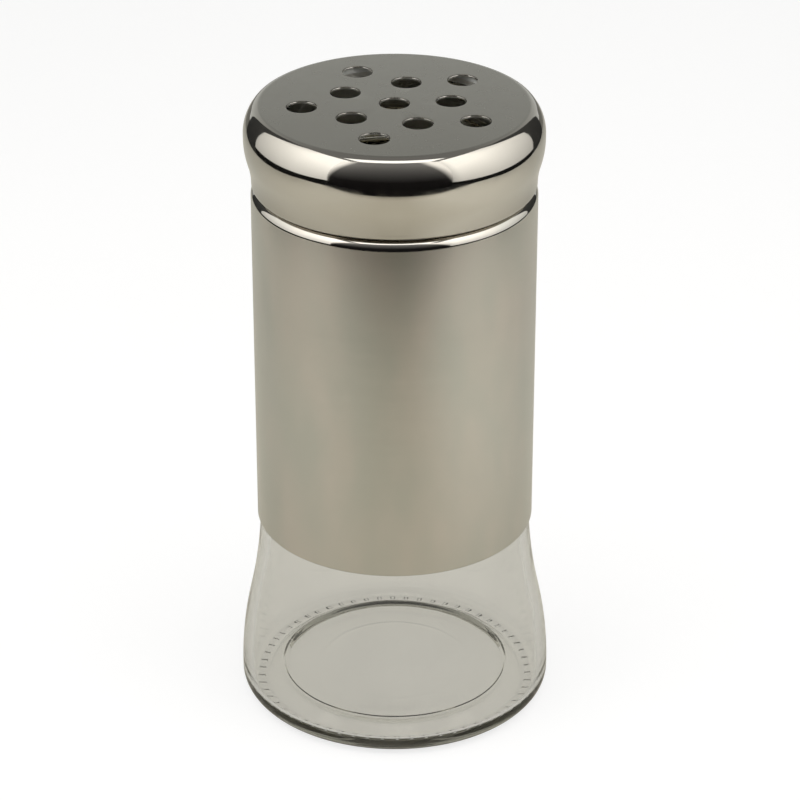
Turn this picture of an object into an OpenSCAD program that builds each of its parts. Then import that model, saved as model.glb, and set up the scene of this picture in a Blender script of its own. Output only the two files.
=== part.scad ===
// Pepper flake shaker: a glass jar in a brushed sleeve, closed by a perforated screw cap.
// It stands on the middle of its base, with its axis along Z. Sizes are in millimetres.

/* [Sleeve] */
// Outer radius of the sleeve
sleeve_r = 26; // [22:0.5:36]
// Length of the sleeve from its lower edge to its shoulder
sleeve_h = 67.1; // [40:0.1:120]
// Thickness of the sleeve's sheet
sleeve_sheet = 0.4; // [0.3:0.05:0.8]
// Outer rounding of the sleeve's shoulder
shoulder_r = 1.7; // [1.2:0.1:2.2]
// Clearance between the sleeve and the glass body
sleeve_gap = 0.2; // [0.1:0.05:0.4]
// How far the flare of the foot runs up under the sleeve
sleeve_tuck = 3.1; // [0:0.1:6]

/* [Glass jar] */
// How far the foot stands out past the body
foot_flare = 4.1; // [2:0.1:7]
// Height of the lower, bulging part of the flare
bulge_h = 15.5; // [12:0.5:24]
// Height of the upper, hollow part of the flare
sweep_h = 20.8; // [14:0.1:32]
// Straight band between the heel and the flare
foot_band = 0.5; // [0.2:0.1:3]
// Rounding of the heel
heel_r = 3; // [1.5:0.1:4.5]
// Width of the ring that the jar stands on
bearing_w = 2.4; // [1.8:0.1:3.2]
// Width of the slope between that ring and the hollow under the base
hollow_w = 2.7; // [2:0.1:4]
// Height of that slope
push_up = 1.25; // [0.5:0.05:1.6]
// Further rise of the hollow towards its middle
hollow_rise = 0.7; // [0.2:0.1:1]
// Rounding at the upper edge of that slope
hollow_round = 3; // [1:0.1:4]
// Rounding at the lower edge of that slope
bearing_round = 1.2; // [0.5:0.1:2]
// Thickness of the wall of the foot and the body
glass_wall = 2; // [1.6:0.1:3]
// Thickness of the base at the edge of the floor
floor_t = 2; // [1.6:0.1:3.5]
// Rounding between the floor and the wall
floor_fillet = 1.8; // [1:0.1:3]
// Width of the trough between the floor's edge and its raised middle
trough_w = 3.9; // [2.6:0.1:5]
// Slope of the trough, in degrees
trough_slope = 25; // [12:1:32]
// Rise of the raised middle towards the axis
floor_rise = 0.4; // [0.2:0.1:1]
// Rounding at the edge of the raised middle
middle_round = 0.8; // [0.3:0.1:1.5]
// Height of the curve that leads from the body into the neck, inside
throat_h = 6; // [4.5:0.5:12]
// Thickness of the neck
neck_wall = 2.6; // [2:0.1:4]
// Rounding where the neck leaves the shoulder
neck_fillet = 1; // [0.4:0.1:1.5]
// Rounding of the two edges of the rim
rim_round = 0.9; // [0.4:0.05:1.2]

/* [Cap] */
// Height of the cap
cap_h = 15.15; // [12.5:0.05:20]
// Thickness of the cap's sheet
cap_sheet = 0.45; // [0.3:0.05:0.7]
// How far the cap's lower edge lies inside the sleeve's outline
cap_step = 0.15; // [0:0.05:0.4]
// How far the cap swells out past its lower edge
cap_swell = 1.3; // [0.5:0.05:2.5]
// Depth of the cap's widest line below its top
crown_h = 5.3; // [3.5:0.1:6.5]
// Radius of the crown's side
crown_side_r = 7; // [5.6:0.1:10]
// Radius of the crown's upper edge
crown_edge_r = 2.2; // [1:0.1:3]
// Height of the bulging part of the skirt, below the widest line
skirt_bulge_h = 4.3; // [2.5:0.1:6]
// Width of the hem turned in under the skirt
hem_w = 1.2; // [0.8:0.05:1.5]
// Gap between the cap's lower edge and the sleeve
cap_gap = 0.35; // [0.3:0.05:2]

/* [Pour holes] */
// Diameter of a pour hole
hole_d = 5.4; // [3:0.1:6]
// Number of holes on each of the two rings
ring_holes = 5; // [3:1:7]
// Radius of the inner ring of holes
inner_ring_r = 10.2; // [8:0.1:11]
// Clear edge between the outer holes and the jar's mouth
hole_edge = 0.5; // [0.2:0.1:2]
// Turn of the hole pattern about the axis
hole_turn = 6; // [0:1:72]

/* [Thread insert and washer] */
// Wall of the insert
insert_wall = 1.6; // [1.2:0.1:2.4]
// Thickness of the insert's flange
flange_t = 1.1; // [0.8:0.1:2]
// Clearance between the insert and the cap's skirt
insert_fit = 0.05; // [0.02:0.01:0.2]
// Room kept for the thread between the neck and the insert
thread_depth = 1; // [0.6:0.1:1.5]
// Play between the thread's crest and the wall that faces it
thread_play = 0.35; // [0.2:0.05:0.6]
// Chamfer that leads the insert over the neck
lead_in = 0.6; // [0.2:0.1:1]
// Thickness of the washer
washer_t = 1; // [0.6:0.1:2]
// Clearance round the washer's edges
washer_play = 0.3; // [0.1:0.05:0.6]
// Clearance above and below the washer
seal_gap = 0.1; // [0.05:0.01:0.3]

/* [Hidden] */

$fn = 96;
arc_steps = 8;
overlap = 1;

// Heights from the table up
flare_z = heel_r + foot_band;
flare_top_z = flare_z + bulge_h + sweep_h;
sleeve_z = flare_top_z - sleeve_tuck;
sleeve_top_z = sleeve_z + sleeve_h;
shoulder_z = sleeve_top_z - sleeve_sheet;
throat_z = shoulder_z - throat_h;
cap_z = sleeve_top_z + cap_gap;
cap_top_z = cap_z + cap_h;
flange_top_z = cap_top_z - cap_sheet;
flange_z = flange_top_z - flange_t;
washer_z = flange_z - seal_gap - washer_t;
rim_z = washer_z - seal_gap;

// Radii from the outside in
body_r = sleeve_r - sleeve_sheet - sleeve_gap;
foot_r = body_r + foot_flare;
bearing_r = foot_r - heel_r - bearing_w;
hollow_r = bearing_r - hollow_w;
cavity_r = body_r - glass_wall;
cap_edge_r = sleeve_r - cap_step;
cap_r = cap_edge_r + cap_swell;
insert_r = cap_edge_r - cap_sheet - insert_fit;
insert_bore_r = insert_r - insert_wall;
thread_r = insert_bore_r - thread_play;
neck_r = thread_r - thread_depth;
mouth_r = neck_r - neck_wall;
sleeve_mouth_r = thread_r + sleeve_gap;
outer_ring_r = mouth_r - hole_edge - hole_d / 2;

// Points on a round stretch of an outline, by centre, radius and angles
function arc(centre, radius, from, to) =
    [for (i = [0:arc_steps])
        let (a = from + (to - from) * i / arc_steps)
        centre + radius * [cos(a), sin(a)]];

// A shallow dome from its edge to its top on the axis
function dome(edge_r, edge_z, rise) =
    let (ball_r = (edge_r * edge_r + rise * rise) / (2 * rise))
    let (tilt = asin(edge_r / ball_r))
    arc([0, edge_z + rise - ball_r], ball_r, 90 - tilt, 90);

// Points of an outline in the opposite order
function reversed(points) = [for (i = [len(points) - 1:-1:0]) points[i]];

// Points of an outline without its first one, where it joins another
function joined(points) = [for (i = [1:len(points) - 1]) points[i]];

// A corner of an outline rounded off, between the points before and after it
function rounded(before, corner, after, radius) =
    let (back = (before - corner) / norm(before - corner))
    let (on = (after - corner) / norm(after - corner))
    let (half = acos(back * on) / 2)
    let (centre = corner + (back + on) / norm(back + on) * radius / sin(half))
    let (first = corner + back * radius / tan(half) - centre)
    let (last = corner + on * radius / tan(half) - centre)
    let (from = atan2(first[1], first[0]))
    let (turn = (atan2(last[1], last[0]) - from + 540) % 360 - 180)
    arc(centre, radius, from, from + turn);

// A double curve that starts wide at height zero, bulges, then sweeps hollow into the narrow radius.
// Both arcs meet on one tangent, and inset draws the parallel curve inside.
function curve_sum(wide, narrow, height) =
    let (drop = wide - narrow)
    (drop * drop + height * height) / (2 * drop);
function bulge_radius(wide, narrow, bulge, sweep) =
    curve_sum(wide, narrow, bulge + sweep) * bulge / (bulge + sweep);
function double_curve(wide, narrow, bulge, sweep, inset = 0, start = 0) =
    let (bulge_arc_r = bulge_radius(wide, narrow, bulge, sweep))
    let (sweep_arc_r = curve_sum(wide, narrow, bulge + sweep) - bulge_arc_r)
    let (lean = asin(bulge / bulge_arc_r))
    concat(
        arc([wide - bulge_arc_r, 0], bulge_arc_r - inset, start, lean),
        joined(arc([narrow + sweep_arc_r, bulge + sweep], sweep_arc_r + inset, 180 + lean, 180)));

// Points of an outline lifted to a height, or hung down from it
function lifted(points, z) = [for (p = points) [p[0], z + p[1]]];
function hung(points, z) = [for (p = points) [p[0], z - p[1]]];

// The round corner between the jar's floor and its wall touches both
foot_arc_r = bulge_radius(foot_r, body_r, bulge_h, sweep_h);
corner_reach = foot_arc_r - glass_wall - floor_fillet;
corner_tilt = asin((floor_t + floor_fillet - flare_z) / corner_reach);
floor_r = foot_r - foot_arc_r + corner_reach * cos(corner_tilt);

// The trough runs on from that corner up to the raised middle of the floor
trough_end = [floor_r, floor_t + floor_fillet] - floor_fillet * [sin(trough_slope), cos(trough_slope)];
middle_r = floor_r - trough_w;
middle_z = trough_end[1] + (trough_end[0] - middle_r) * tan(trough_slope);

function jar_outside() =
    let (corner_r = shoulder_r - sleeve_sheet - sleeve_gap)
    let (hollow = dome(hollow_r, push_up, hollow_rise))
    let (bearing = [bearing_r, 0])
    concat(
        reversed(joined(hollow)),
        rounded(hollow[1], hollow[0], bearing, hollow_round),
        rounded(hollow[0], bearing, [foot_r - heel_r, 0], bearing_round),
        arc([foot_r - heel_r, heel_r], heel_r, -90, 0),
        lifted(double_curve(foot_r, body_r, bulge_h, sweep_h), flare_z),
        arc([body_r - corner_r, shoulder_z - corner_r], corner_r, 0, 90),
        arc([neck_r + neck_fillet, shoulder_z + neck_fillet], neck_fillet, 270, 180),
        arc([neck_r - rim_round, rim_z - rim_round], rim_round, 0, 90));

function jar_inside() =
    let (middle = dome(middle_r, middle_z, floor_rise))
    concat(
        reversed(joined(middle)),
        rounded(middle[1], middle[0], trough_end, middle_round),
        arc([floor_r, floor_t + floor_fillet], floor_fillet, -90 - trough_slope, corner_tilt),
        joined(lifted(double_curve(foot_r, body_r, bulge_h, sweep_h, glass_wall, corner_tilt), flare_z)),
        lifted(double_curve(cavity_r, mouth_r, throat_h / 2, throat_h / 2), throat_z),
        arc([mouth_r + rim_round, rim_z - rim_round], rim_round, 180, 90));

module glass_jar() {
    color([0.80, 0.84, 0.80, 0.4])
        rotate_extrude()
            polygon(concat(jar_outside(), reversed(jar_inside())));
}

// The sleeve turns in over the shoulder and rests on the glass there
module steel_sleeve() {
    corner = [sleeve_r - shoulder_r, sleeve_top_z - shoulder_r];
    color([0.66, 0.64, 0.60])
        rotate_extrude()
            polygon(concat(
                [[sleeve_r - sleeve_sheet, sleeve_z], [sleeve_r, sleeve_z]],
                arc(corner, shoulder_r, 0, 90),
                [[sleeve_mouth_r, sleeve_top_z], [sleeve_mouth_r, shoulder_z]],
                arc(corner, shoulder_r - sleeve_sheet, 90, 0)));
}

// Outline of the cap from its axis to the hem, or the parallel outline inside the sheet.
// The crown's edge arc lies within its side arc and touches it, so the corner has no crease.
function cap_outline(inset) =
    let (side_z = cap_top_z - crown_h)
    let (side = [cap_r - crown_side_r, side_z])
    let (tilt = asin((crown_h - crown_edge_r) / (crown_side_r - crown_edge_r)))
    let (edge = side + (crown_side_r - crown_edge_r) * [cos(tilt), sin(tilt)])
    let (skirt_sweep_h = cap_h - crown_h - skirt_bulge_h - cap_sheet)
    concat(
        [[0, cap_top_z - inset]],
        arc(edge, crown_edge_r - inset, 90, tilt),
        joined(arc(side, crown_side_r - inset, tilt, 0)),
        joined(hung(double_curve(cap_r, cap_edge_r, skirt_bulge_h, skirt_sweep_h, inset), side_z)));

module cap_shell() {
    hem_bend = [cap_edge_r - cap_sheet, cap_z + cap_sheet];
    color([0.72, 0.70, 0.67])
        difference() {
            rotate_extrude()
                polygon(concat(
                    cap_outline(0),
                    joined(arc(hem_bend, cap_sheet, 0, -90)),
                    [[cap_edge_r - hem_w, cap_z], [cap_edge_r - hem_w, cap_z + cap_sheet]],
                    reversed(cap_outline(cap_sheet))));
            pour_holes();
        }
}

// One hole in the middle and two rings, the outer one half a step round from the inner
module pour_holes() {
    step = 360 / ring_holes;
    pour_hole();
    for (i = [0:ring_holes - 1]) {
        rotate(hole_turn + i * step)
            translate([inner_ring_r, 0, 0])
                pour_hole();
        rotate(hole_turn + (i + 0.5) * step)
            translate([outer_ring_r, 0, 0])
                pour_hole();
    }
}

module pour_hole() {
    translate([0, 0, flange_top_z - overlap])
        cylinder(h = cap_sheet + 2 * overlap, d = hole_d);
}

// A ring held between the cap's top and its hem, with a flange that presses on the washer
module thread_insert() {
    flat_r = cap_r - crown_side_r + sqrt(pow(crown_side_r - crown_edge_r, 2) - pow(crown_h - crown_edge_r, 2));
    chamfer = insert_r - flat_r;
    insert_z = cap_z + cap_sheet;
    color([0.90, 0.90, 0.87])
        rotate_extrude()
            polygon([
                [mouth_r, flange_z],
                [mouth_r, flange_top_z],
                [flat_r, flange_top_z],
                [insert_r, flange_top_z - chamfer],
                [insert_r, insert_z],
                [insert_bore_r + lead_in, insert_z],
                [insert_bore_r, insert_z + lead_in],
                [insert_bore_r, flange_z]]);
}

module sealing_washer() {
    bore_r = mouth_r + washer_play;
    color([0.82, 0.80, 0.74])
        translate([0, 0, washer_z])
            difference() {
                cylinder(h = washer_t, r = insert_bore_r - washer_play);
                translate([0, 0, -overlap])
                    cylinder(h = washer_t + 2 * overlap, r = bore_r);
            }
}

glass_jar();
steel_sleeve();
cap_shell();
thread_insert();
sealing_washer();
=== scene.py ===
import math

import bpy
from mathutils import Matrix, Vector


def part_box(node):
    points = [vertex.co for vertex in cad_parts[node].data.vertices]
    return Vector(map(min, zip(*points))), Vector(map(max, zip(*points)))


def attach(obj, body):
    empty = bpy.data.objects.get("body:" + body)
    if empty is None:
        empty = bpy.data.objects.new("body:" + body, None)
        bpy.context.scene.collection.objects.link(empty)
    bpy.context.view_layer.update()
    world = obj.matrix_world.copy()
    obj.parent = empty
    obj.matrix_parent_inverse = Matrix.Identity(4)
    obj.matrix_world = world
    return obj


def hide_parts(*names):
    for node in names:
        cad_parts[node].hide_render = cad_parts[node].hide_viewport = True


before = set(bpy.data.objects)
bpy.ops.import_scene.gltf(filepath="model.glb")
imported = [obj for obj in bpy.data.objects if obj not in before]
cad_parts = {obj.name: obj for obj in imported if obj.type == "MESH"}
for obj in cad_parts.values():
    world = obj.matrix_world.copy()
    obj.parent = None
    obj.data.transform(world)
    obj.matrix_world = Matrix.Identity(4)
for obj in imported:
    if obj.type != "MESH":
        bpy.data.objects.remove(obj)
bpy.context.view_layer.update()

MM = 0.001

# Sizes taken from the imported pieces
jar_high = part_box("glass_jar")[1]
sleeve_low, sleeve_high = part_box("steel_sleeve")
cap_low, cap_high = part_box("cap_shell")
insert_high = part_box("thread_insert")[1]

foot_r = jar_high.x
rim_z = jar_high.z
sleeve_r = sleeve_high.x
sleeve_z = sleeve_low.z
sleeve_top_z = sleeve_high.z
cap_r = cap_high.x
cap_z = cap_low.z
cap_top_z = cap_high.z
insert_r = insert_high.x

# Sleeve
SLEEVE_SHEET = 0.4 * MM
SLEEVE_GAP = 0.2 * MM
SLEEVE_MOUTH_R = 23.6 * MM
SHOULDER_R = 1.7 * MM
LOWER_EDGE_R = 0.35 * MM

# Glass jar
HEEL_R = 3.0 * MM
FOOT_BAND = 0.5 * MM
BULGE_H = 15.5 * MM
SWEEP_H = 20.8 * MM
GLASS_WALL = 2.0 * MM
THROAT_H = 6.0 * MM
NECK_R = 22.4 * MM
NECK_WALL = 2.6 * MM
NECK_FILLET = 1.0 * MM
RIM_ROUND = 0.9 * MM

# Floor inside the jar, with a bead whose section is in shares of its width and height
FLOOR_T = 2.0 * MM
FLOOR_FILLET = 1.8 * MM
FLOOR_RISE = 0.4 * MM
TROUGH_W = 3.9 * MM
TROUGH_SLOPE = 25.0
MIDDLE_ROUND = 0.8 * MM
BEAD_R = 21.1 * MM
BEAD_W = 0.6 * MM
BEAD_H = 0.18 * MM
BEAD_SECTION = [(0.5, 0), (0.25, 0.8), (0, 1), (-0.8, 0.8), (-2.2, 0)]

# Underside of the jar
BEARING_W = 2.4 * MM
BEARING_ROUND = 1.2 * MM
PUSH_UP = 1.25 * MM
HOLLOW_W = 2.7 * MM
HOLLOW_RISE = 0.7 * MM
HOLLOW_ROUND = 3.0 * MM
VALVE_R = 14.0 * MM
VALVE_W = 0.6 * MM
VALVE_SIDE = 0.2 * MM
VALVE_DEPTH = 0.02 * MM
KNURL_INNER_R = 25.1 * MM
KNURL_HEEL_STEPS = 2
KNURL_SIDE = 0.2 * MM
KNURL_DEPTH = 0.4 * MM
KNURL_STEP = 3
DOWNWARD = -0.9

# Cap
CAP_SHEET = 0.45 * MM
CAP_SWELL = 1.3 * MM
CROWN_H = 5.3 * MM
CROWN_SIDE_R = 7.0 * MM
CROWN_EDGE_R = 2.2 * MM
CROWN_BAND = 0.8 * MM
SKIRT_BULGE_H = 4.3 * MM
HEM_W = 1.2 * MM
TOP_SWELL = 0.42 * MM
FLAT_WEIGHT = 100
crown_reach = CROWN_SIDE_R - CROWN_EDGE_R
crown_rise = CROWN_H - CROWN_EDGE_R
flat_r = cap_r - CROWN_SIDE_R + math.sqrt(crown_reach ** 2 - crown_rise ** 2)

# Pour holes
HOLE_R = 2.7 * MM
HOLE_ROUND = 0.25 * MM
HOLE_LIFT = 0.01 * MM
HOLE_STEPS = 48
PUNCH_REACH = 2.0 * MM
INNER_RING_R = 10.2 * MM
OUTER_RING_R = 16.6 * MM
RING_HOLES = 5
HOLE_TURN = 6.0

# Thread on the neck and in the insert
THREAD_PITCH = 4.0 * MM
THREAD_TURNS = 1.25
THREAD_DEPTH = 1.0 * MM
THREAD_ROOT_W = 1.5 * MM
THREAD_CREST_W = 0.8 * MM
THREAD_SEAT = 0.15 * MM
NECK_THREAD_Z = 108.9 * MM
INSERT_WALL = 1.6 * MM
RUN_OUT_RINGS = 10
RUN_OUT_LEAST = 0.1

# Fineness of the meshes
SPIN_STEPS = 180
ARC_STEPS = 10
HOLLOW_STEPS = 2 * ARC_STEPS
SMOOTH_ANGLE = 30.0
WELD = 0.002 * MM
QUARTER = math.pi / 2


# Outlines, as points of radius and height

def arc(centre, radius, start, end, steps=ARC_STEPS):
    """Points on a round stretch of an outline, by centre, radius and angles in degrees."""
    angles = [math.radians(start + (end - start) * i / steps) for i in range(steps + 1)]
    return [(centre[0] + radius * math.cos(a), centre[1] + radius * math.sin(a)) for a in angles]


def dome_height(r, edge_r, rise):
    """Height of a shallow dome over its edge at a radius."""
    ball_r = (edge_r ** 2 + rise ** 2) / (2 * rise)
    return math.sqrt(ball_r ** 2 - r ** 2) - (ball_r - rise)


def curve_radii(wide, narrow, bulge, sweep):
    """Radii of the two arcs of a double curve that meet on one tangent."""
    drop = wide - narrow
    height = bulge + sweep
    total = (drop ** 2 + height ** 2) / (2 * drop)
    return total * bulge / height, total * sweep / height


def double_curve(wide, narrow, bulge, sweep, inset=0.0, start=0.0):
    """A curve that starts wide at height zero, bulges, then sweeps hollow into a narrow one."""
    bulge_r, sweep_r = curve_radii(wide, narrow, bulge, sweep)
    lean = math.degrees(math.asin(bulge / bulge_r))
    lower = arc((wide - bulge_r, 0), bulge_r - inset, start, lean)
    upper = arc((narrow + sweep_r, bulge + sweep), sweep_r + inset, 180 + lean, 180)
    return lower + upper[1:]


def rounded(before, corner, after, radius):
    """A corner of an outline rounded off, between the points before and after it."""
    back = (Vector(before) - Vector(corner)).normalized()
    on = (Vector(after) - Vector(corner)).normalized()
    half = math.acos(back.dot(on)) / 2
    centre = Vector(corner) + (back + on).normalized() * radius / math.sin(half)
    first = Vector(corner) + back * radius / math.tan(half) - centre
    last = Vector(corner) + on * radius / math.tan(half) - centre
    start = math.degrees(math.atan2(first.y, first.x))
    turn = (math.degrees(math.atan2(last.y, last.x)) - start + 540) % 360 - 180
    return arc(centre, radius, start, start + turn)


def lifted(points, z):
    """An outline that stands on a height."""
    return [(r, z + h) for r, h in points]


def hung(points, z):
    """An outline turned over, hanging from a height."""
    return [(r, z - h) for r, h in points]


# Modelling by hand

def select_none():
    """Leaves edit mode and deselects everything."""
    if bpy.context.object and bpy.context.object.mode != "OBJECT":
        bpy.ops.object.mode_set(mode="OBJECT")
    bpy.ops.object.select_all(action="DESELECT")


def make_active(piece):
    """Selects one piece alone."""
    select_none()
    piece.select_set(True)
    bpy.context.view_layer.objects.active = piece


def draw_outline(name, points):
    """Draws an outline edge by edge from a plane drawn in to one corner, and stays in edit mode."""
    select_none()
    bpy.ops.mesh.primitive_plane_add(size=MM, location=(0, 0, 0))
    piece = bpy.context.object
    piece.name = name
    piece.data.name = name
    bpy.ops.object.mode_set(mode="EDIT")
    bpy.ops.mesh.select_mode(type="VERT")
    bpy.ops.mesh.select_all(action="SELECT")
    bpy.ops.mesh.merge(type="CENTER")
    bpy.ops.transform.translate(value=(points[0][0], 0, points[0][1]))
    for (r0, z0), (r1, z1) in zip(points, points[1:]):
        step = (r1 - r0, 0, z1 - z0)
        bpy.ops.mesh.extrude_region_move(TRANSFORM_OT_translate={"value": step})
    return piece


def turned(name, points, closed, steps=SPIN_STEPS):
    """A solid of revolution: the outline is drawn, spun round the axis and welded."""
    loop = points + points[:1] if closed else points
    piece = draw_outline(name, loop)
    bpy.ops.mesh.select_all(action="SELECT")
    bpy.ops.mesh.spin(steps=steps, angle=math.tau, center=(0, 0, 0), axis=(0, 0, 1))
    bpy.ops.mesh.select_all(action="SELECT")
    bpy.ops.mesh.remove_doubles(threshold=WELD)
    bpy.ops.mesh.normals_make_consistent(inside=False)
    bpy.ops.object.mode_set(mode="OBJECT")
    return piece


def apply_modifier(piece, name, kind, **settings):
    """Adds a modifier with its settings and applies it."""
    make_active(piece)
    modifier = piece.modifiers.new(name, kind)
    for key, value in settings.items():
        setattr(modifier, key, value)
    bpy.ops.object.modifier_apply(modifier=modifier.name)


def join_or_cut(piece, name, tool, operation):
    """Joins a tool to a piece or cuts it out, and throws the tool away."""
    apply_modifier(piece, name, "BOOLEAN", object=tool, operation=operation, solver="EXACT")
    bpy.data.objects.remove(tool)


def inset_faces(piece, test, side, depth):
    """Sinks a smaller copy of each stretch of faces whose middle and normal pass the test."""
    make_active(piece)
    for vertex in piece.data.vertices:
        vertex.select = False
    for edge in piece.data.edges:
        edge.select = False
    for face in piece.data.polygons:
        face.select = test(face.center, face.normal)
    bpy.ops.object.mode_set(mode="EDIT")
    bpy.ops.mesh.select_mode(type="FACE")
    bpy.ops.mesh.inset(thickness=side, depth=-depth)
    bpy.ops.object.mode_set(mode="OBJECT")


def smooth(piece):
    """Shades a piece smooth, with its sharp edges kept."""
    make_active(piece)
    bpy.ops.object.shade_smooth_by_angle(angle=math.radians(SMOOTH_ANGLE), keep_sharp_edges=True)


def fit_to_body(piece, body, node, material):
    """The piece rides a body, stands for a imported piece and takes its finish."""
    piece.data.materials.clear()
    piece.data.materials.append(material)
    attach(piece, body)
    if node:
        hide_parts(node)


# Thread

def thread_ridge(name, root_r, crest_r, start_z):
    """One ridge of the screw thread, faded out at both ends."""
    half_root = THREAD_ROOT_W / 2
    half_crest = THREAD_CREST_W / 2
    section = [
        (root_r, start_z - half_root),
        (crest_r, start_z - half_crest),
        (crest_r, start_z + half_crest),
        (root_r, start_z + half_root),
    ]
    piece = draw_outline(name, section + section[:1])
    bpy.ops.mesh.select_all(action="SELECT")
    bpy.ops.mesh.remove_doubles(threshold=WELD)
    bpy.ops.object.mode_set(mode="OBJECT")
    rings = int(SPIN_STEPS * THREAD_TURNS)
    apply_modifier(
        piece, "winding", "SCREW", axis="Z", angle=math.tau * THREAD_TURNS,
        screw_offset=THREAD_PITCH * THREAD_TURNS, steps=rings, render_steps=rings,
    )
    fade_thread(piece, root_r, start_z)
    bpy.ops.object.mode_set(mode="EDIT")
    bpy.ops.mesh.select_all(action="DESELECT")
    bpy.ops.mesh.select_mode(type="EDGE")
    bpy.ops.mesh.select_non_manifold()
    bpy.ops.mesh.fill_holes(sides=len(section))
    bpy.ops.mesh.select_all(action="SELECT")
    bpy.ops.mesh.normals_make_consistent(inside=False)
    bpy.ops.object.mode_set(mode="OBJECT")
    return piece


def fade_thread(piece, root_r, start_z):
    """Draws the crest back to the root over the first and last rings of a ridge."""
    whole = math.tau * THREAD_TURNS
    fade = math.tau * RUN_OUT_RINGS / SPIN_STEPS
    for vertex in piece.data.vertices:
        r = math.hypot(vertex.co.x, vertex.co.y)
        turn = math.atan2(vertex.co.y, vertex.co.x) % math.tau
        laps = round((vertex.co.z - start_z) / THREAD_PITCH - turn / math.tau)
        along = turn + laps * math.tau
        share = max(RUN_OUT_LEAST, min(1.0, along / fade, (whole - along) / fade))
        wanted = root_r + (r - root_r) * math.sin(share * QUARTER)
        vertex.co.x *= wanted / r
        vertex.co.y *= wanted / r


# Nodes that the finishes are made of

def feed(tree, socket, value):
    """Gives a socket a number, a colour, a scale or what another node puts out."""
    if isinstance(value, bpy.types.NodeSocket):
        tree.links.new(value, socket)
    elif socket.type == "RGBA":
        socket.default_value = (*value, 1)
    else:
        socket.default_value = value


def add_node(tree, kind, output, sockets, **settings):
    """Adds a node with its settings, feeds its sockets and gives one of its outputs."""
    node = tree.nodes.new(kind)
    for key, value in settings.items():
        setattr(node, key, value)
    for key, value in sockets.items():
        feed(tree, node.inputs[key], value)
    return node.outputs[output]


def place(tree, scale=(1, 1, 1)):
    """Object coordinates, drawn out by a scale."""
    coordinates = add_node(tree, "ShaderNodeTexCoord", "Object", {})
    return add_node(tree, "ShaderNodeMapping", "Vector", {"Vector": coordinates, "Scale": scale})


def axes(tree, vector):
    """The three parts of a place."""
    split = tree.nodes.new("ShaderNodeSeparateXYZ")
    feed(tree, split.inputs["Vector"], vector)
    return split.outputs


def length(tree, vector):
    """How far a place is from the origin."""
    return add_node(tree, "ShaderNodeVectorMath", "Value", {0: vector}, operation="LENGTH")


def dot(tree, first, second):
    """How far a place goes along a direction."""
    sockets = {0: first, 1: second}
    return add_node(tree, "ShaderNodeVectorMath", "Value", sockets, operation="DOT_PRODUCT")


def maths(tree, operation, first, second):
    """One operation on two numbers, kept between none and all."""
    sockets = {0: first, 1: second}
    return add_node(tree, "ShaderNodeMath", "Value", sockets, operation=operation, use_clamp=True)


def noise(tree, vector, scale, detail=3.0, rough=0.5):
    """A cloudy pattern."""
    sockets = {"Vector": vector, "Scale": scale, "Detail": detail, "Roughness": rough}
    return add_node(tree, "ShaderNodeTexNoise", "Fac", sockets)


def spread(tree, value, low, high, start=0.3, end=0.7):
    """A value from start to end, spread from low to high."""
    sockets = {"Value": value, "From Min": start, "From Max": end, "To Min": low, "To Max": high}
    return add_node(tree, "ShaderNodeMapRange", "Result", sockets)


def rising(tree, value, base, fade):
    """A share that rises from none to all over a fade, measured from a base."""
    return spread(tree, value, 0.0, 1.0, base + fade[0], base + fade[1])


def falling(tree, value, base, fade):
    """A share that falls from all to none over a fade, measured from a base."""
    return spread(tree, value, 1.0, 0.0, base + fade[0], base + fade[1])


def between(tree, share, first, second):
    """A colour between two, by a share."""
    sockets = {"Factor": share, "A": first, "B": second}
    return add_node(tree, "ShaderNodeMix", "Result", sockets, data_type="RGBA")


def blend(tree, share, first, second):
    """A number between two, by a share."""
    return add_node(tree, "ShaderNodeMix", "Result", {"Factor": share, "A": first, "B": second})


def bump(tree, height, distance, strength):
    """A surface raised by a pattern."""
    sockets = {"Height": height, "Distance": distance, "Strength": strength}
    return add_node(tree, "ShaderNodeBump", "Normal", sockets)


def new_material(name):
    """A new material and the tree of its nodes."""
    material = bpy.data.materials.new(name)
    material.use_nodes = True
    return material, material.node_tree


def set_finish(tree, sockets):
    """Feeds the sockets of a material's own shader."""
    shader = tree.nodes["Principled BSDF"]
    for key, value in sockets.items():
        feed(tree, shader.inputs[key], value)


# Finishes of the pieces, with pairs of tones and of roughness that a cloudy pattern runs between

ACROSS = (1, 1, 0)

GLASS_IOR = 1.5
GLASS_TONES = (0.917, 0.905, 0.873), (0.998, 0.985, 0.952)
GLASS_ROUGH = 0.0, 0.02
GLASS_DEPTH_TONE = (0.76, 0.757, 0.71)
GLASS_DENSITY = 200
GLASS_CLOUD = 70
HAZE_CLOUD = 220
RIPPLE_H = 0.25 * MM
RIPPLE_STRENGTH = 0.3


def pressed_glass():
    """Clear glass, a little grey in its depth, with a faint ripple and haze."""
    material, tree = new_material("pressed_glass")
    vector = place(tree)
    tint = noise(tree, vector, GLASS_CLOUD)
    haze = noise(tree, vector, HAZE_CLOUD)
    ripple = noise(tree, vector, GLASS_CLOUD, detail=2)
    sockets = {"Color": GLASS_DEPTH_TONE, "Density": GLASS_DENSITY}
    depth = add_node(tree, "ShaderNodeVolumeAbsorption", "Volume", sockets)
    feed(tree, tree.nodes["Material Output"].inputs["Volume"], depth)
    set_finish(tree, {
        "Transmission Weight": 1.0,
        "IOR": GLASS_IOR,
        "Base Color": between(tree, tint, *GLASS_TONES),
        "Roughness": spread(tree, haze, *GLASS_ROUGH),
        "Normal": bump(tree, ripple, RIPPLE_H, RIPPLE_STRENGTH),
    })
    return material


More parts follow.
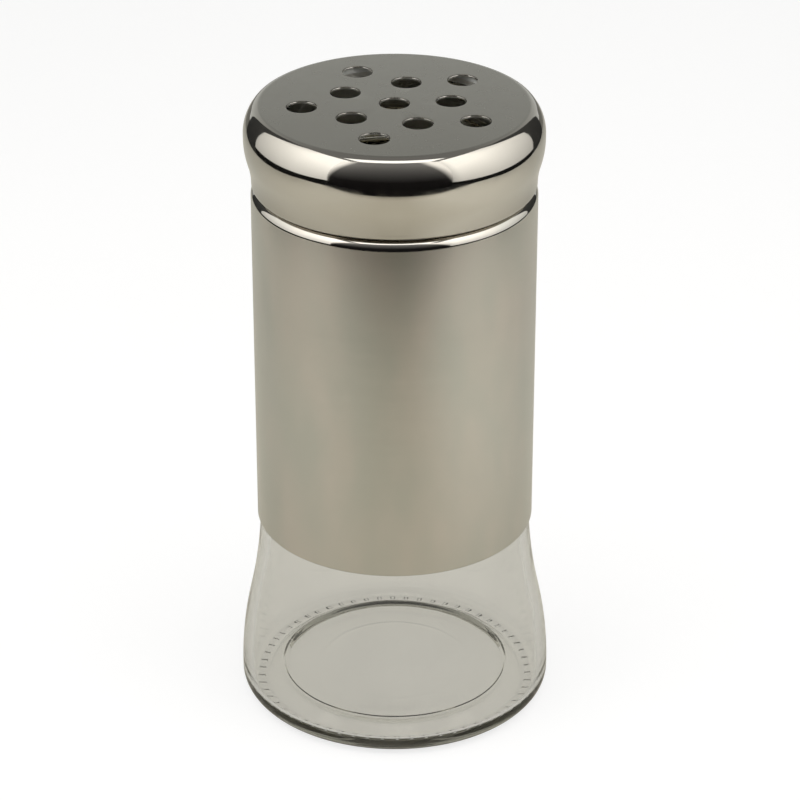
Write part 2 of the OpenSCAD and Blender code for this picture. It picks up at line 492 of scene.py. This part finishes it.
SLEEVE_TONES = (0.475, 0.472, 0.428), (0.535, 0.502, 0.456)
# Painted light: a paler tone over the sleeve's upper part, lifting its reflection there
SLEEVE_PAINTED_TOP_TONES = (0.535, 0.530, 0.480), (0.600, 0.563, 0.511)
SLEEVE_PAINTED_TOP_FADE = -18 * MM, -4 * MM
SLEEVE_ROUGH = 0.225, 0.255
SLEEVE_EDGE_ROUGH = 0.05
SHOULDER_FADE = -0.15 * MM, 0.05 * MM
LOWER_EDGE_FADE = -0.1 * MM, 0.02 * MM
BLOTCH_STRETCH = (1, 1, 0.35)
BLOTCH_CLOUD = 110
BLOTCH_FADE = 0.36, 0.64
BRUSH_STRETCH = (0.03, 0.03, 1)
BRUSH_CLOUD = 3200
BRUSH_GRAIN = 0.5
BRUSH_TURN = 0.25


def brushed_steel():
    """Satin sheet brushed round its axis, with a polished shoulder and lower edge, and painted
    light: a paler tone over its upper part.
    """
    material, tree = new_material("brushed_steel")
    z = axes(tree, place(tree))["Z"]
    bend_z = sleeve_top_z - SHOULDER_R
    broad = noise(tree, place(tree, BLOTCH_STRETCH), BLOTCH_CLOUD)
    blotch = rising(tree, broad, 0.0, BLOTCH_FADE)
    plain = between(tree, blotch, *SLEEVE_TONES)
    # painted light: a paler tone towards the top
    painted_top_light = between(tree, blotch, *SLEEVE_PAINTED_TOP_TONES)
    near_top = rising(tree, z, bend_z, SLEEVE_PAINTED_TOP_FADE)
    below_bend = falling(tree, z, bend_z, SHOULDER_FADE)
    above_edge = rising(tree, z, sleeve_z + LOWER_EDGE_R, LOWER_EDGE_FADE)
    brushed = maths(tree, "MULTIPLY", below_bend, above_edge)
    fine = noise(tree, place(tree, BRUSH_STRETCH), BRUSH_CLOUD, detail=4, rough=0.6)
    round_axis = add_node(
        tree, "ShaderNodeTangent", "Tangent", {}, direction_type="RADIAL", axis="Z")
    set_finish(tree, {
        "Metallic": 1.0,
        "Anisotropic": BRUSH_GRAIN,
        "Anisotropic Rotation": BRUSH_TURN,
        "Tangent": round_axis,
        "Base Color": between(tree, near_top, plain, painted_top_light),
        "Roughness": blend(tree, brushed, SLEEVE_EDGE_ROUGH, spread(tree, fine, *SLEEVE_ROUGH)),
    })
    return material


SKIRT_TONES = (0.50, 0.475, 0.425), (0.55, 0.525, 0.475)
# Painted shade: a darker tone by the hem
HEM_SHADE_TONES = (0.42, 0.399, 0.357), (0.462, 0.441, 0.399)
HEM_SHADE_FADE = 1.0 * MM, 5.0 * MM
# Painted highlight: a paler tone within the flat top's radius below its face, on the punched edges,
# to brighten their highlights
PUNCHED_HIGHLIGHT_TONES = (0.80, 0.78, 0.73), (0.86, 0.84, 0.79)
PUNCHED_FADE = -1.0 * MM, -0.5 * MM
TORN_FADE = -0.03 * MM, 0.03 * MM
TOP_TONES = (0.385, 0.372, 0.33), (0.425, 0.412, 0.37)
TOP_FADE = -0.12 * MM, -0.04 * MM
MIRROR_ROUGH = 0.04, 0.09
SATIN_ROUGH = 0.20, 0.28
TORN_ROUGH = 0.38, 0.48
STEEL_CLOUD = 90
SCUFF_CLOUD = 500


def polished_steel():
    """Polished skirt and crown, darker by the hem in painted shade, with a satin top, and punched
    edges that are rough below their roll-over and paler in a painted highlight.
    """
    material, tree = new_material("polished_steel")
    vector = place(tree)
    z = axes(tree, vector)["Z"]
    satin = rising(tree, z, cap_top_z, TOP_FADE)
    above_hem = rising(tree, z, cap_z, HEM_SHADE_FADE)
    punched = falling(tree, length(tree, place(tree, ACROSS)), flat_r, PUNCHED_FADE)
    below_round = falling(tree, z, cap_top_z - HOLE_ROUND, TORN_FADE)
    torn = maths(tree, "MULTIPLY", punched, below_round)

    cloud = noise(tree, vector, STEEL_CLOUD)
    skirt, hem, punched_highlight, top = (
        between(tree, cloud, *tones)
        for tones in (SKIRT_TONES, HEM_SHADE_TONES, PUNCHED_HIGHLIGHT_TONES, TOP_TONES)
    )
    # painted shade: the tone darkens towards the hem
    tone = between(tree, above_hem, hem, skirt)
    # painted highlight: the punched edges take the paler tone
    tone = between(tree, punched, tone, punched_highlight)
    tone = between(tree, satin, tone, top)

    scuff = noise(tree, vector, SCUFF_CLOUD, detail=2)
    rough = spread(tree, scuff, *MIRROR_ROUGH)
    rough = blend(tree, torn, rough, spread(tree, scuff, *TORN_ROUGH))
    rough = blend(tree, satin, rough, spread(tree, scuff, *SATIN_ROUGH))
    set_finish(tree, {
        "Metallic": 1.0,
        "Base Color": tone,
        "Roughness": rough,
        "Normal": swollen_top(tree, satin),
    })
    return material


def swollen_top(tree, satin):
    """The flat top swells by a hair towards its middle, as drawn sheet does."""
    across = place(tree, ACROSS)
    swell = spread(tree, dot(tree, across, across), TOP_SWELL, 0.0, 0.0, flat_r ** 2)
    return bump(tree, maths(tree, "MULTIPLY", swell, satin), 1.0, 1.0)


PLASTIC_TONES = (0.80, 0.80, 0.76), (0.86, 0.86, 0.82)
PLASTIC_ROUGH = 0.38, 0.52
PLASTIC_CLOUD = 150
GRAIN_CLOUD = 1500
GRAIN_H = 0.05 * MM
GRAIN_STRENGTH = 0.3


def moulded_plastic():
    """Natural white plastic with a fine grain."""
    material, tree = new_material("moulded_plastic")
    vector = place(tree)
    cloud = noise(tree, vector, PLASTIC_CLOUD, detail=2)
    grain = noise(tree, vector, GRAIN_CLOUD)
    set_finish(tree, {
        "Base Color": between(tree, cloud, *PLASTIC_TONES),
        "Roughness": spread(tree, grain, *PLASTIC_ROUGH),
        "Normal": bump(tree, grain, GRAIN_H, GRAIN_STRENGTH),
    })
    return material


RUBBER_TONES = (0.66, 0.64, 0.57), (0.74, 0.72, 0.65)
RUBBER_ROUGH = 0.5, 0.65
RUBBER_CLOUD = 260


def soft_rubber():
    """Pale rubber sheet."""
    material, tree = new_material("soft_rubber")
    cloud = noise(tree, place(tree), RUBBER_CLOUD)
    set_finish(tree, {
        "Base Color": between(tree, cloud, *RUBBER_TONES),
        "Roughness": spread(tree, cloud, *RUBBER_ROUGH),
    })
    return material


# Pieces

body_r = sleeve_r - SLEEVE_SHEET - SLEEVE_GAP
flare_z = HEEL_R + FOOT_BAND
shoulder_z = sleeve_top_z - SLEEVE_SHEET
heel_start_r = foot_r - HEEL_R
bearing_r = heel_start_r - BEARING_W
hollow_r = bearing_r - HOLLOW_W
mouth_r = NECK_R - NECK_WALL
hem_r = cap_r - CAP_SWELL


def jar_floor_corner():
    """Middle and tilt of the round corner that touches both the floor and the wall of the foot."""
    bulge_r = curve_radii(foot_r, body_r, BULGE_H, SWEEP_H)[0]
    reach = bulge_r - GLASS_WALL - FLOOR_FILLET
    tilt = math.asin((FLOOR_T + FLOOR_FILLET - flare_z) / reach)
    return foot_r - bulge_r + reach * math.cos(tilt), math.degrees(tilt)


def jar_under():
    """The hollow under the base from the axis out, and down to the ring that the jar stands on."""
    steps = [hollow_r * i / HOLLOW_STEPS for i in range(HOLLOW_STEPS - 1)]
    circle = [VALVE_R - VALVE_W / 2, VALVE_R + VALVE_W / 2]
    radii = sorted(circle + [r for r in steps if abs(r - VALVE_R) > VALVE_W])
    hollow = [(r, PUSH_UP + dome_height(r, hollow_r, HOLLOW_RISE)) for r in radii]
    edge = (hollow_r, PUSH_UP)
    bearing = (bearing_r, 0)
    upper_bend = rounded(hollow[-1], edge, bearing, HOLLOW_ROUND)
    lower_bend = rounded(edge, bearing, (heel_start_r, 0), BEARING_ROUND)
    return hollow + upper_bend + lower_bend


def jar_floor():
    """The floor inside from the wall's corner in: a trough, a raised middle and a fine bead."""
    floor_r, tilt = jar_floor_corner()
    corner = arc((floor_r, FLOOR_T + FLOOR_FILLET), FLOOR_FILLET, tilt, -90 - TROUGH_SLOPE)
    trough_r, trough_z = corner[-1]
    middle_r = floor_r - TROUGH_W
    middle_z = trough_z + (trough_r - middle_r) * math.tan(math.radians(TROUGH_SLOPE))
    bead_z = middle_z + dome_height(BEAD_R, middle_r, FLOOR_RISE)
    bead = [(BEAD_R + BEAD_W * across, bead_z + BEAD_H * up) for across, up in BEAD_SECTION]
    radii = [BEAD_R * (1 - i / ARC_STEPS) for i in range(1, ARC_STEPS + 1)]
    middle = [(r, middle_z + dome_height(r, middle_r, FLOOR_RISE)) for r in radii]
    edge = rounded(corner[-1], (middle_r, middle_z), bead[0], MIDDLE_ROUND)
    return corner[1:] + edge + bead + middle


def jar_outline():
    """The jar from the axis under its base, up the outside, over the rim and down to the floor."""
    heel = arc((heel_start_r, HEEL_R), HEEL_R, -90, 0)
    foot = lifted(double_curve(foot_r, body_r, BULGE_H, SWEEP_H), flare_z)
    corner_r = SHOULDER_R - SLEEVE_SHEET - SLEEVE_GAP
    shoulder = arc((body_r - corner_r, shoulder_z - corner_r), corner_r, 0, 90)
    neck = arc((NECK_R + NECK_FILLET, shoulder_z + NECK_FILLET), NECK_FILLET, 270, 180)
    lip_out = arc((NECK_R - RIM_ROUND, rim_z - RIM_ROUND), RIM_ROUND, 0, 90)
    lip_in = arc((mouth_r + RIM_ROUND, rim_z - RIM_ROUND), RIM_ROUND, 90, 180)
    throat = double_curve(body_r - GLASS_WALL, mouth_r, THROAT_H / 2, THROAT_H / 2)
    throat = lifted(throat, shoulder_z - THROAT_H)
    tilt = jar_floor_corner()[1]
    wall = lifted(double_curve(foot_r, body_r, BULGE_H, SWEEP_H, GLASS_WALL, tilt), flare_z)
    outside = jar_under() + [(KNURL_INNER_R, 0)] + heel + foot + shoulder + neck + lip_out
    inside = lip_in + throat[::-1] + wall[::-1] + jar_floor()
    return outside + inside


def knurl_base(jar):
    """Sinks a ring of short radial dashes into the ring that the jar stands on."""
    outer_r = heel_start_r + HEEL_R * math.sin(QUARTER * KNURL_HEEL_STEPS / ARC_STEPS)
    step = math.tau / SPIN_STEPS

    def dash(middle, normal):
        r = math.hypot(middle.x, middle.y)
        count = int((math.atan2(middle.y, middle.x) % math.tau) / step)
        return KNURL_INNER_R < r < outer_r and normal.z < DOWNWARD and count % KNURL_STEP == 0

    inset_faces(jar, dash, KNURL_SIDE, KNURL_DEPTH)


def sink_valve_mark(jar):
    """Sinks a fine circle into the hollow under the base."""

    def ring(middle, normal):
        r = math.hypot(middle.x, middle.y)
        return abs(r - VALVE_R) < VALVE_W / 2 and normal.z < DOWNWARD

    inset_faces(jar, ring, VALVE_SIDE, VALVE_DEPTH)


def make_jar(material):
    """The glass jar with its base marks and the thread on its neck."""
    jar = turned("jar_glass", jar_outline(), closed=False)
    knurl_base(jar)
    sink_valve_mark(jar)
    ridge = thread_ridge(
        "neck_thread", NECK_R - THREAD_SEAT, NECK_R + THREAD_DEPTH, NECK_THREAD_Z)
    join_or_cut(jar, "thread", ridge, "UNION")
    smooth(jar)
    fit_to_body(jar, "jar", "glass_jar", material)


def make_sleeve(material):
    """The sleeve: sheet with a rounded lower edge, turned in over the jar's shoulder."""
    corner = (sleeve_r - SHOULDER_R, sleeve_top_z - SHOULDER_R)
    edge = (sleeve_r - LOWER_EDGE_R, sleeve_z + LOWER_EDGE_R)
    lower = [(sleeve_r - SLEEVE_SHEET, sleeve_z)] + arc(edge, LOWER_EDGE_R, 270, 360)
    outside = arc(corner, SHOULDER_R, 0, 90)
    mouth = [(SLEEVE_MOUTH_R, sleeve_top_z), (SLEEVE_MOUTH_R, shoulder_z)]
    inside = arc(corner, SHOULDER_R - SLEEVE_SHEET, 90, 0)
    sleeve = turned("sleeve_sheet", lower + outside + mouth + inside, closed=True)
    smooth(sleeve)
    fit_to_body(sleeve, "jar", "steel_sleeve", material)


def cap_outline(inset):
    """The cap's outline from its axis to the hem, or the parallel outline inside the sheet."""
    side_z = cap_top_z - CROWN_H
    side = (cap_r - CROWN_SIDE_R, side_z)
    tilt = math.asin(crown_rise / crown_reach)
    edge = (side[0] + crown_reach * math.cos(tilt), side[1] + crown_reach * math.sin(tilt))
    skirt_h = cap_top_z - cap_z - CROWN_H - CROWN_BAND - CAP_SHEET
    skirt = double_curve(cap_r, hem_r, SKIRT_BULGE_H, skirt_h - SKIRT_BULGE_H, inset)
    crown = arc(edge, CROWN_EDGE_R - inset, 90, math.degrees(tilt))
    flank = arc(side, CROWN_SIDE_R - inset, math.degrees(tilt), 0)
    return [(0, cap_top_z - inset)] + crown + flank[1:] + hung(skirt, side_z - CROWN_BAND)


def punch(name, r, turn):
    """A punch for one pour hole, flared where the sheet rolls over the hole's upper edge."""
    flare_r = HOLE_R + HOLE_ROUND
    flare = arc((flare_r, cap_top_z - HOLE_ROUND + HOLE_LIFT), HOLE_ROUND, 180, 90)
    low, high = cap_top_z - PUNCH_REACH, cap_top_z + PUNCH_REACH
    outline = [(0, low), (HOLE_R, low)] + flare + [(flare_r, high), (0, high)]
    tool = turned(name, outline, closed=False, steps=HOLE_STEPS)
    angle = math.radians(turn)
    make_active(tool)
    bpy.ops.transform.translate(value=(r * math.cos(angle), r * math.sin(angle), 0))
    bpy.ops.object.transform_apply(location=True, rotation=True, scale=True)
    return tool


def make_cap(material):
    """The cap: drawn sheet with a hem, punched with one hole in the middle and two rings."""
    bend = arc((hem_r - CAP_SHEET, cap_z + CAP_SHEET), CAP_SHEET, 0, -90)
    hem = [(hem_r - HEM_W, cap_z), (hem_r - HEM_W, cap_z + CAP_SHEET)]
    outline = cap_outline(0) + bend[1:] + hem + cap_outline(CAP_SHEET)[::-1]
    cap = turned("cap_steel", outline, closed=False)
    step = 360 / RING_HOLES
    tools = [punch("punch_middle", 0, 0)]
    for i in range(RING_HOLES):
        tools.append(punch("punch_inner", INNER_RING_R, HOLE_TURN + i * step))
        tools.append(punch("punch_outer", OUTER_RING_R, HOLE_TURN + (i + 0.5) * step))
    for tool in tools:
        join_or_cut(cap, "pour_hole", tool, "DIFFERENCE")
    smooth(cap)
    apply_modifier(
        cap, "flat_shading", "WEIGHTED_NORMAL",
        mode="FACE_AREA", weight=FLAT_WEIGHT, keep_sharp=True,
    )
    fit_to_body(cap, "cap", "cap_shell", material)


def make_insert_thread(material):
    """The thread inside the insert, half a pitch below the one on the neck."""
    bore_r = insert_r - INSERT_WALL
    start_z = NECK_THREAD_Z - THREAD_PITCH / 2
    ridge = thread_ridge("insert_thread", bore_r + THREAD_SEAT, bore_r - THREAD_DEPTH, start_z)
    smooth(ridge)
    fit_to_body(ridge, "cap", None, material)


def dress_node(name, material):
    """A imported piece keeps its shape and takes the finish."""
    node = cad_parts[name]
    node.data.materials.clear()
    node.data.materials.append(material)


# Studio: a small light tent round the shaker, open at the front

MATT = {"Roughness": 0.9, "Specular IOR Level": 0.1}
WHITE = (1, 1, 1)
WARM_WHITE = (1.0, 0.985, 0.955)
LYING = (0, 0, 0)
FACING_FRONT = (QUARTER, 0, 0)
FACING_SIDE = (QUARTER, 0, QUARTER)

# Floor
FLOOR_SIZE = 6.0
FLOOR_DROP = 0.1 * MM
FLOOR_CLOUD = 3
FLOOR_TONES = (0.25, 0.249, 0.246), (0.27, 0.269, 0.266)
FLOOR_DARK_TONE = (0.01, 0.01, 0.01)
FLOOR_LIFT = 0.76
FRONT_FADE = 0.0, 0.03
# Painted light: a stronger lift under the jar, seen through the glass, in place of light passing
# through it
UNDER_GLASS_PAINTED_LIFT = 0.87
BEHIND_GLASS = 0.66
BEHIND_REACH = 2 * MM

# Side walls
TENT_X = 0.30
TENT_TOP_Z = 0.62
TENT_BACK_Y = 0.18
TENT_END_DEPTH = 0.24
LEFT_FRONT_Y = -0.36
LEFT_FADE_Y = -0.30
LEFT_LOW_Z = 0.055
RIGHT_FRONT_Y = -0.45
RIGHT_FADE_Y = -0.27
RIGHT_LOW_Z = 0.04
WALL_TONE = (0.6, 0.6, 0.6)
WALL_GLOW = 1.45
WALL_LOW_SHARE = 0.45
WALL_DIM_Z = 0.055
WALL_FULL_Z = 0.32
WALL_FRONT_FADE = -0.16, 0.0
WALL_BACK_SHARE = 0.55
WALL_BACK_FADE_Y = -0.08

# Board in front, with painted light: paler towards its top, and a glow along two slants towards the
# top of its ends
FRONT_Y = -0.265
BOARD_X = -0.029
BOARD_WIDTH = 0.53
BOARD_HEIGHT = 0.52
BOARD_TONES = (0.012, 0.011, 0.012), (0.28, 0.28, 0.285)
BOARD_RISE = 0.12, 0.40
BOARD_SLANT = 0.27
RIGHT_END_FADE = 0.245, 0.30
LEFT_END_FADE = 0.31, 0.37

# Cards on the table, seen only in the steel
CARD_RISE = 0.0, 0.5
DARK_TONES = (0.015, 0.015, 0.015), (0.03, 0.03, 0.03)
DIM_TONES = (0.07, 0.07, 0.07), (0.13, 0.13, 0.13)
GREY_TONES = (0.36, 0.35, 0.32), (0.42, 0.41, 0.38)
GREY_FADE = 0.44, 1.5
TABLE_DEPTH = 0.55
TABLE_Y = -0.095
BACK_WIDTH = 2.4
BACK_DEPTH = 1.4
BACK_Y = 1.14
SIDE_DEPTH = 0.50
SIDE_Y = 0.19
PAPER_X = -0.005
PAPER_Y = -0.06
PAPER_WIDTH = 0.30
PAPER_DEPTH = 0.202
PAPER_INNER = 0.033
PAPER_STEPS = 128
PAPER_TONE = (0.63, 0.60, 0.515)
# Painted light: paler tones to both sides
PAPER_SIDE_LIGHT_TONES = (0.71, 0.685, 0.61), (0.82, 0.795, 0.72)
PAPER_BACK_TONE = (0.66, 0.645, 0.585)
# Painted shade: a darker tone at the front edge
PAPER_EDGE_SHADE_TONE = (0.42, 0.40, 0.34)
PAPER_ACROSS_FADE = -0.1, 0.1
PAPER_ASIDE_FADE = 0.03, 0.13
PAPER_BACK_FADE = -0.02, 0.15
PAPER_EDGE_FADE = 0.0, 0.05

# Lamps and room
ROOF_PLACE = (0, -0.245, 0.75)
ROOF_WIDTH = 0.56
ROOF_DEPTH = 0.31
ROOF_GLOW = 2.0
FILL_PLACE = (0, 0, 1.3)
FILL_SIZE = 1.2
FILL_GLOW = 1.1
ROOM_TONES = (0.60, 0.61, 0.59), (0.24, 0.24, 0.235)
ROOM_RISE = 0.1, 0.8

# Camera
CAMERA_PLACE = (1.0 * MM, -529.5 * MM, 334.5 * MM)
CAMERA_TILT = 27.43
CAMERA_LENS = 143.66
CAMERA_SENSOR = 36

# Light paths, enough for thick glass in front of polished steel
GLASS_BOUNCES = 24
STEEL_BOUNCES = 12


def pale_paper():
    """White paper under its own shadow, lifted to the eye, to mirrors and through the glass, with
    painted light under the jar: a stronger lift there, seen through the glass.
    """
    material, tree = new_material("pale_paper")
    vector = place(tree)
    rays = tree.nodes.new("ShaderNodeLightPath").outputs
    to_eye = rays["Is Camera Ray"]
    through_glass = rays["Is Transmission Ray"]
    mirrored = maths(tree, "SUBTRACT", rays["Is Glossy Ray"], through_glass)
    paper = rising(tree, axes(tree, vector)["Y"], FRONT_Y, FRONT_FADE)
    shown = maths(tree, "ADD", paper, to_eye)
    pale = between(tree, noise(tree, vector, FLOOR_CLOUD, detail=2), *FLOOR_TONES)
    behind_r = foot_r + BEHIND_REACH
    # painted light: the lift through the glass is stronger under the jar than behind it
    through = spread(tree, length(tree, vector), UNDER_GLASS_PAINTED_LIFT, BEHIND_GLASS, bearing_r, behind_r)
    through = maths(tree, "MULTIPLY", through_glass, through)
    seen = maths(tree, "ADD", through, mirrored)
    seen = maths(tree, "MULTIPLY", seen, paper)
    seen = maths(tree, "ADD", seen, to_eye)
    set_finish(tree, {
        **MATT,
        "Base Color": between(tree, shown, FLOOR_DARK_TONE, pale),
        "Emission Color": WHITE,
        "Emission Strength": maths(tree, "MULTIPLY", seen, FLOOR_LIFT),
    })
    return material


def make_floor():
    """The paper that the shaker stands on."""
    select_none()
    bpy.ops.mesh.primitive_plane_add(size=FLOOR_SIZE, location=(0, 0, -FLOOR_DROP))
    floor = bpy.context.object
    floor.name = "studio_floor"
    floor.data.materials.append(pale_paper())


def set_up(sheet, name, width, height, material, lights=False, in_glass=False):
    """Names, sizes and dresses a sheet of the tent, and keeps it out of the picture."""
    sheet.name = name
    sheet.scale = (width, height, 1)
    bpy.ops.object.transform_apply(location=True, rotation=True, scale=True)
    sheet.data.materials.append(material)
    sheet.visible_camera = False
    sheet.visible_shadow = False
    sheet.visible_diffuse = lights
    sheet.visible_transmission = in_glass


def make_sheet(name, width, height, place_at, turn, material, **seen_by):
    """A flat sheet of the tent."""
    select_none()
    bpy.ops.mesh.primitive_plane_add(size=1, location=place_at, rotation=turn)
    set_up(bpy.context.object, name, width, height, material, **seen_by)


def make_paper(name, material):
    """The beige paper in front, with a round front edge."""
    select_none()
    bpy.ops.mesh.primitive_circle_add(
        vertices=PAPER_STEPS, radius=1, fill_type="NGON", location=(PAPER_X, PAPER_Y, FLOOR_DROP))
    set_up(bpy.context.object, name, PAPER_WIDTH, PAPER_DEPTH, material)


def card_material(name, axis, tones, fade):
    """A matt card that goes from one tone to another along an axis."""
    material, tree = new_material(name)
    share = rising(tree, axes(tree, place(tree))[axis], 0.0, fade)
    set_finish(tree, {**MATT, "Base Color": between(tree, share, *tones)})
    return material


def paper_material():
    """Beige paper, darker at its front edge in painted shade and paler to both sides in painted
    light.
    """
    material, tree = new_material("beige_card")
    along = axes(tree, place(tree))
    across = rising(tree, along["X"], 0.0, PAPER_ACROSS_FADE)
    aside = rising(tree, maths(tree, "ABSOLUTE", along["X"], 0.0), 0.0, PAPER_ASIDE_FADE)
    behind = rising(tree, along["Y"], 0.0, PAPER_BACK_FADE)
    inside = rising(tree, along["Y"], PAPER_Y - PAPER_DEPTH, PAPER_EDGE_FADE)
    # painted light: paler to both sides
    sides = between(tree, across, *PAPER_SIDE_LIGHT_TONES)
    sides = between(tree, behind, sides, PAPER_BACK_TONE)
    tone = between(tree, aside, PAPER_TONE, sides)
    # painted shade: darker at the front edge
    set_finish(tree, {**MATT, "Base Color": between(tree, inside, PAPER_EDGE_SHADE_TONE, tone)})
    return material


def board_material():
    """A dark board with painted light: paler towards its top, and glowing towards the top of its
    ends.
    """
    material, tree = new_material("front_board")
    vector = place(tree)
    # painted light: paler towards the top
    rise = rising(tree, axes(tree, vector)["Z"], 0.0, BOARD_RISE)
    right, left = (
        rising(tree, dot(tree, vector, (side, 0, BOARD_SLANT)), 0.0, fade)
        for side, fade in ((1, RIGHT_END_FADE), (-1, LEFT_END_FADE))
    )
    # painted light: a glow towards the top of both ends
    lit = maths(tree, "ADD", right, left)
    set_finish(tree, {
        **MATT,
        "Base Color": between(tree, rise, *BOARD_TONES),
        "Emission Color": WARM_WHITE,
        "Emission Strength": spread(tree, lit, 0.0, WALL_GLOW, 0.0, 1.0),
    })
    return material


def wall_material(name, fade_y):
    """A lit wall that dims towards its lower edge and towards its ends."""
    material, tree = new_material(name)
    along = axes(tree, place(tree))
    rise = spread(tree, along["Z"], WALL_LOW_SHARE, 1.0, WALL_DIM_Z, WALL_FULL_Z)
    front = rising(tree, along["Y"], fade_y, WALL_FRONT_FADE)
    back = spread(tree, along["Y"], 1.0, WALL_BACK_SHARE, WALL_BACK_FADE_Y, TENT_BACK_Y)
    share = maths(tree, "MULTIPLY", maths(tree, "MULTIPLY", rise, front), back)
    set_finish(tree, {
        "Base Color": WALL_TONE,
        "Emission Color": WARM_WHITE,
        "Emission Strength": spread(tree, share, 0.0, WALL_GLOW, 0.0, 1.0),
    })
    return material


def make_wall(name, side, front_y, low_z, fade_y, dark, dim):
    """A lit side wall, with a dark gap under it and a dim end behind it."""
    x = side * TENT_X
    width = TENT_BACK_Y - front_y
    middle_y = (TENT_BACK_Y + front_y) / 2
    end_y = TENT_BACK_Y + TENT_END_DEPTH / 2
    wall_place = (x, middle_y, (TENT_TOP_Z + low_z) / 2)
    make_sheet(name, width, TENT_TOP_Z - low_z, wall_place, FACING_SIDE,
               wall_material(name, fade_y), lights=True)
    make_sheet(name + "_gap", width, low_z, (x, middle_y, low_z / 2), FACING_SIDE, dark)
    make_sheet(name + "_end", TENT_END_DEPTH, TENT_TOP_Z, (x, end_y, TENT_TOP_Z / 2),
               FACING_SIDE, dim)


def make_lamp(name, width, depth, glow, place_at, in_mirrors):
    """A soft lamp overhead, of a width, a depth and an even glow."""
    select_none()
    bpy.ops.object.light_add(type="AREA", location=place_at)
    lamp = bpy.context.object
    lamp.name = name
    lamp.data.shape = "RECTANGLE"
    lamp.data.size = width
    lamp.data.size_y = depth
    lamp.data.energy = glow * math.pi * width * depth
    lamp.visible_camera = False
    lamp.visible_glossy = in_mirrors


def make_world():
    """Grey room behind the tent, darker overhead."""
    world = bpy.data.worlds.new("studio_room")
    world.use_nodes = True
    tree = world.node_tree
    direction = add_node(tree, "ShaderNodeTexCoord", "Generated", {})
    rise = rising(tree, axes(tree, direction)["Z"], 0.0, ROOM_RISE)
    feed(tree, tree.nodes["Background"].inputs["Color"], between(tree, rise, *ROOM_TONES))
    bpy.context.scene.world = world


def make_studio():
    """Floor, walls, board, cards, lamps and room."""
    make_floor()
    dark = card_material("dark_card", "Z", DARK_TONES, CARD_RISE)
    dim = card_material("dim_card", "Z", DIM_TONES, CARD_RISE)
    grey = card_material("grey_card", "Y", GREY_TONES, GREY_FADE)
    beige = paper_material()
    make_wall("left_wall", -1, LEFT_FRONT_Y, LEFT_LOW_Z, LEFT_FADE_Y, dark, dim)
    make_wall("right_wall", 1, RIGHT_FRONT_Y, RIGHT_LOW_Z, RIGHT_FADE_Y, dark, dim)
    board_place = (BOARD_X, FRONT_Y, BOARD_HEIGHT / 2)
    make_sheet("front_board", BOARD_WIDTH, BOARD_HEIGHT, board_place, FACING_FRONT,
               board_material(), in_glass=True)
    table_place = (0, TABLE_Y, FLOOR_DROP / 2)
    make_sheet("dark_table", 2 * TENT_X, TABLE_DEPTH, table_place, LYING, dark)
    make_sheet("back_card", BACK_WIDTH, BACK_DEPTH, (0, BACK_Y, FLOOR_DROP), LYING, grey)
    make_paper("front_card", beige)
    side_width = PAPER_WIDTH - PAPER_INNER
    for name, side in (("left_card", -1), ("right_card", 1)):
        x = PAPER_X + side * (PAPER_INNER + side_width / 2)
        make_sheet(name, side_width, SIDE_DEPTH, (x, SIDE_Y, FLOOR_DROP), LYING, beige)
    make_lamp("roof_lamp", ROOF_WIDTH, ROOF_DEPTH, ROOF_GLOW, ROOF_PLACE, True)
    make_lamp("fill_lamp", FILL_SIZE, FILL_SIZE, FILL_GLOW, FILL_PLACE, False)
    make_world()


def make_camera():
    """The camera, level from side to side and tilted down at the shaker."""
    select_none()
    tilt = math.radians(90 - CAMERA_TILT)
    bpy.ops.object.camera_add(location=CAMERA_PLACE, rotation=(tilt, 0, 0))
    camera = bpy.context.object
    camera.data.lens = CAMERA_LENS
    camera.data.sensor_width = CAMERA_SENSOR
    bpy.context.scene.camera = camera


make_camera()
make_jar(pressed_glass())
make_sleeve(brushed_steel())
make_cap(polished_steel())
plastic = moulded_plastic()
make_insert_thread(plastic)
dress_node("thread_insert", plastic)
dress_node("sealing_washer", soft_rubber())
make_studio()
bpy.context.scene.view_settings.view_transform = "Standard"
bpy.context.scene.cycles.max_bounces = GLASS_BOUNCES
bpy.context.scene.cycles.glossy_bounces = STEEL_BOUNCES
bpy.context.scene.cycles.transmission_bounces = GLASS_BOUNCES
